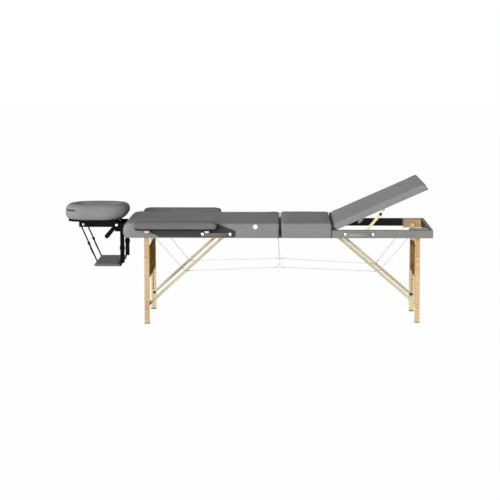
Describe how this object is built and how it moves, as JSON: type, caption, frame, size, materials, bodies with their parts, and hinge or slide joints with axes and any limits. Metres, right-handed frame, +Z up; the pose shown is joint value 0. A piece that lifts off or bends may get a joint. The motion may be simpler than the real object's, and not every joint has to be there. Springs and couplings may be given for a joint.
{
  "type": "portable massage table",
  "caption": "Folding two-half wooden massage table with lift-up backrest, side armrests, face cradle and hanging arm shelf.",
  "frame": {"origin": "on the floor, in the middle of the whole length and width", "axes": "+X along the table towards the foot end with the backrest, +Z up, -Y towards the side with the carrying handles"},
  "size_m": [2.237, 0.864, 0.8563],
  "materials": {
    "vinyl_grey": "matt grained vinyl",
    "vinyl_black": "matt grained vinyl",
    "beech_honey": "clear satin lacquer",
    "beech_pale": "clear satin lacquer",
    "plate_dark": "dark stained ply",
    "deck_black": "black-faced ply",
    "cable_steel": "coated steel rope",
    "steel_plated": "zinc plated",
    "brass_yellow": "yellow passivated",
    "plastic_black": "fine matt",
    "handle_grey": "padded grip",
    "webbing_black": "woven webbing"
  },
  "bodies": {
    "left_half": {"rail_left_near": "beech_honey", "rail_left_far": "beech_honey", "end_rail_head": "beech_honey", "centre_rail_left": "beech_honey", "deck_left": "deck_black", "side_band_left": "vinyl_grey", "cushion_left": "vinyl_grey", "hinges_left": "brass_yellow", "leg_blocks_left": "beech_honey", "pivot_bolts_left": "steel_plated", "brace_cleats_left": "beech_honey", "cables_left": "cable_steel", "handle_left": "handle_grey", "armrest_wings": "vinyl_grey"},
    "right_half": {"rail_right_near": "beech_honey", "rail_right_far": "beech_honey", "end_rail_foot": "beech_honey", "centre_rail_right": "beech_honey", "deck_middle": "deck_black", "side_band_right": "vinyl_grey", "cushion_middle": "vinyl_grey", "hinge_slat": "beech_honey", "hinges_right": "brass_yellow", "leg_blocks_right": "beech_honey", "pivot_bolts_right": "steel_plated", "brace_cleats_right": "beech_honey", "cables_right": "cable_steel", "handle_right": "handle_grey"},
    "leg_left": {"leg_post_left_near": "beech_honey", "leg_post_left_far": "beech_honey", "leg_plate_left": "plate_dark"},
    "leg_right": {"leg_post_right_near": "beech_honey", "leg_post_right_far": "beech_honey", "leg_plate_right": "plate_dark"},
    "extension_left_near": {"leg_extension_left_near": "beech_honey"},
    "extension_left_far": {"leg_extension_left_far": "beech_honey"},
    "extension_right_near": {"leg_extension_right_near": "beech_honey"},
    "extension_right_far": {"leg_extension_right_far": "beech_honey"},
    "upper_brace_left": {"brace_upper_left": "beech_pale"},
    "lower_brace_left": {"brace_lower_left": "beech_pale"},
    "upper_brace_right": {"brace_upper_right": "beech_pale"},
    "lower_brace_right": {"brace_lower_right": "beech_pale"},
    "backrest": {"backrest_board": "deck_black", "cushion_backrest": "vinyl_grey", "backrest_fittings": "steel_plated"},
    "upper_stay": {"stay_upper": "brass_yellow"},
    "lower_stay": {"stay_lower": "brass_yellow"},
    "armrest_near": {"armrest_pad_near": "vinyl_grey", "armrest_support_near": "beech_honey"},
    "armrest_far": {"armrest_pad_far": "vinyl_grey", "armrest_support_far": "beech_honey"},
    "cradle_arm": {"cradle_base": "plastic_black", "cradle_pivots": "steel_plated", "straps_rear": "webbing_black", "straps_front": "webbing_black", "arm_shelf": "vinyl_black"},
    "cradle_head": {"cradle_frame": "plastic_black", "cradle_platform": "plastic_black", "face_cushion": "vinyl_grey"},
    "lever": {"cam_lever": "plastic_black"}
  },
  "joints": [
    {"name": "table_fold", "type": "hinge", "parent": "left_half", "child": "right_half", "pos_m": [0.2035, 0, 0.525], "axis": [0, 1, 0], "range_deg": [0, 180], "deforming": ["cables_left", "cables_right"]},
    {"name": "leg_left_fold", "type": "hinge", "parent": "left_half", "child": "leg_left", "pos_m": [-0.6005, 0, 0.55], "axis": [0, -1, 0], "range_deg": [0, 90]},
    {"name": "leg_right_fold", "type": "hinge", "parent": "right_half", "child": "leg_right", "pos_m": [1.0375, 0, 0.55], "axis": [0, 1, 0], "range_deg": [0, 90]},
    {"name": "brace_upper_left_fold", "type": "hinge", "parent": "left_half", "child": "upper_brace_left", "pos_m": [-0.1065, 0, 0.556], "axis": [0, 1, 0], "range_deg": [0, 42.42]},
    {"name": "brace_upper_right_fold", "type": "hinge", "parent": "right_half", "child": "upper_brace_right", "pos_m": [0.5135, 0, 0.556], "axis": [0, -1, 0], "range_deg": [0, 40.73]},
    {"name": "brace_knee_left", "type": "hinge", "parent": "upper_brace_left", "child": "lower_brace_left", "pos_m": [-0.37043, 0, 0.31478], "axis": [0, -1, 0], "range_deg": [0, 180]},
    {"name": "brace_knee_right", "type": "hinge", "parent": "upper_brace_right", "child": "lower_brace_right", "pos_m": [0.80433, 0, 0.3056], "axis": [0, 1, 0], "range_deg": [0, 180]},
    {"name": "extension_left_near_slide", "type": "slide", "parent": "leg_left", "child": "extension_left_near", "axis": [0, 0, -1], "range_m": [0, 0.2]},
    {"name": "extension_left_far_slide", "type": "slide", "parent": "leg_left", "child": "extension_left_far", "axis": [0, 0, -1], "range_m": [0, 0.2]},
    {"name": "extension_right_near_slide", "type": "slide", "parent": "leg_right", "child": "extension_right_near", "axis": [0, 0, -1], "range_m": [0, 0.2]},
    {"name": "extension_right_far_slide", "type": "slide", "parent": "leg_right", "child": "extension_right_far", "axis": [0, 0, -1], "range_m": [0, 0.2]},
    {"name": "backrest_tilt", "type": "hinge", "parent": "right_half", "child": "backrest", "pos_m": [0.5365, 0, 0.578], "axis": [0, -1, 0], "range_deg": [-24, 9]},
    {"name": "stay_lower_swing", "type": "hinge", "parent": "right_half", "child": "lower_stay", "pos_m": [0.7075, 0, 0.556], "axis": [0, -1, 0], "range_deg": [-45.94, 17.23]},
    {"name": "stay_upper_swing", "type": "hinge", "parent": "backrest", "child": "upper_stay", "pos_m": [0.82468, 0, 0.69536], "axis": [0, -1, 0], "range_deg": [-21.94, 8.23]},
    {"name": "armrest_near_slide", "type": "slide", "parent": "left_half", "child": "armrest_near", "axis": [0, -1, 0], "range_m": [0, 0.045]},
    {"name": "armrest_far_slide", "type": "slide", "parent": "left_half", "child": "armrest_far", "axis": [0, 1, 0], "range_m": [0, 0.045]},
    {"name": "cradle_slide", "type": "slide", "parent": "left_half", "child": "cradle_arm", "axis": [-1, 0, 0], "range_m": [0, 0.05]},
    {"name": "cradle_tilt", "type": "hinge", "parent": "cradle_arm", "child": "cradle_head", "pos_m": [-0.7935, 0, 0.585], "axis": [0, 1, 0], "range_deg": [-35, 8], "deforming": ["straps_front"]},
    {"name": "cam_lever_turn", "type": "hinge", "parent": "cradle_arm", "child": "lever", "pos_m": [-0.7935, 0, 0.585], "axis": [0, -1, 0], "range_deg": [0, 50]}
  ],
  "couplings": [
    {"joint": "leg_left_fold", "follows": "table_fold", "ratio": 0.5},
    {"joint": "leg_right_fold", "follows": "table_fold", "ratio": 0.5},
    {"joint": "brace_upper_left_fold", "follows": "table_fold", "ratio": 0.2357},
    {"joint": "brace_upper_right_fold", "follows": "table_fold", "ratio": 0.22627},
    {"joint": "brace_knee_left", "follows": "table_fold", "ratio": 1},
    {"joint": "brace_knee_right", "follows": "table_fold", "ratio": 1},
    {"joint": "stay_lower_swing", "follows": "backrest_tilt", "ratio": 1.9142},
    {"joint": "stay_upper_swing", "follows": "backrest_tilt", "ratio": 0.91422}
  ]
}
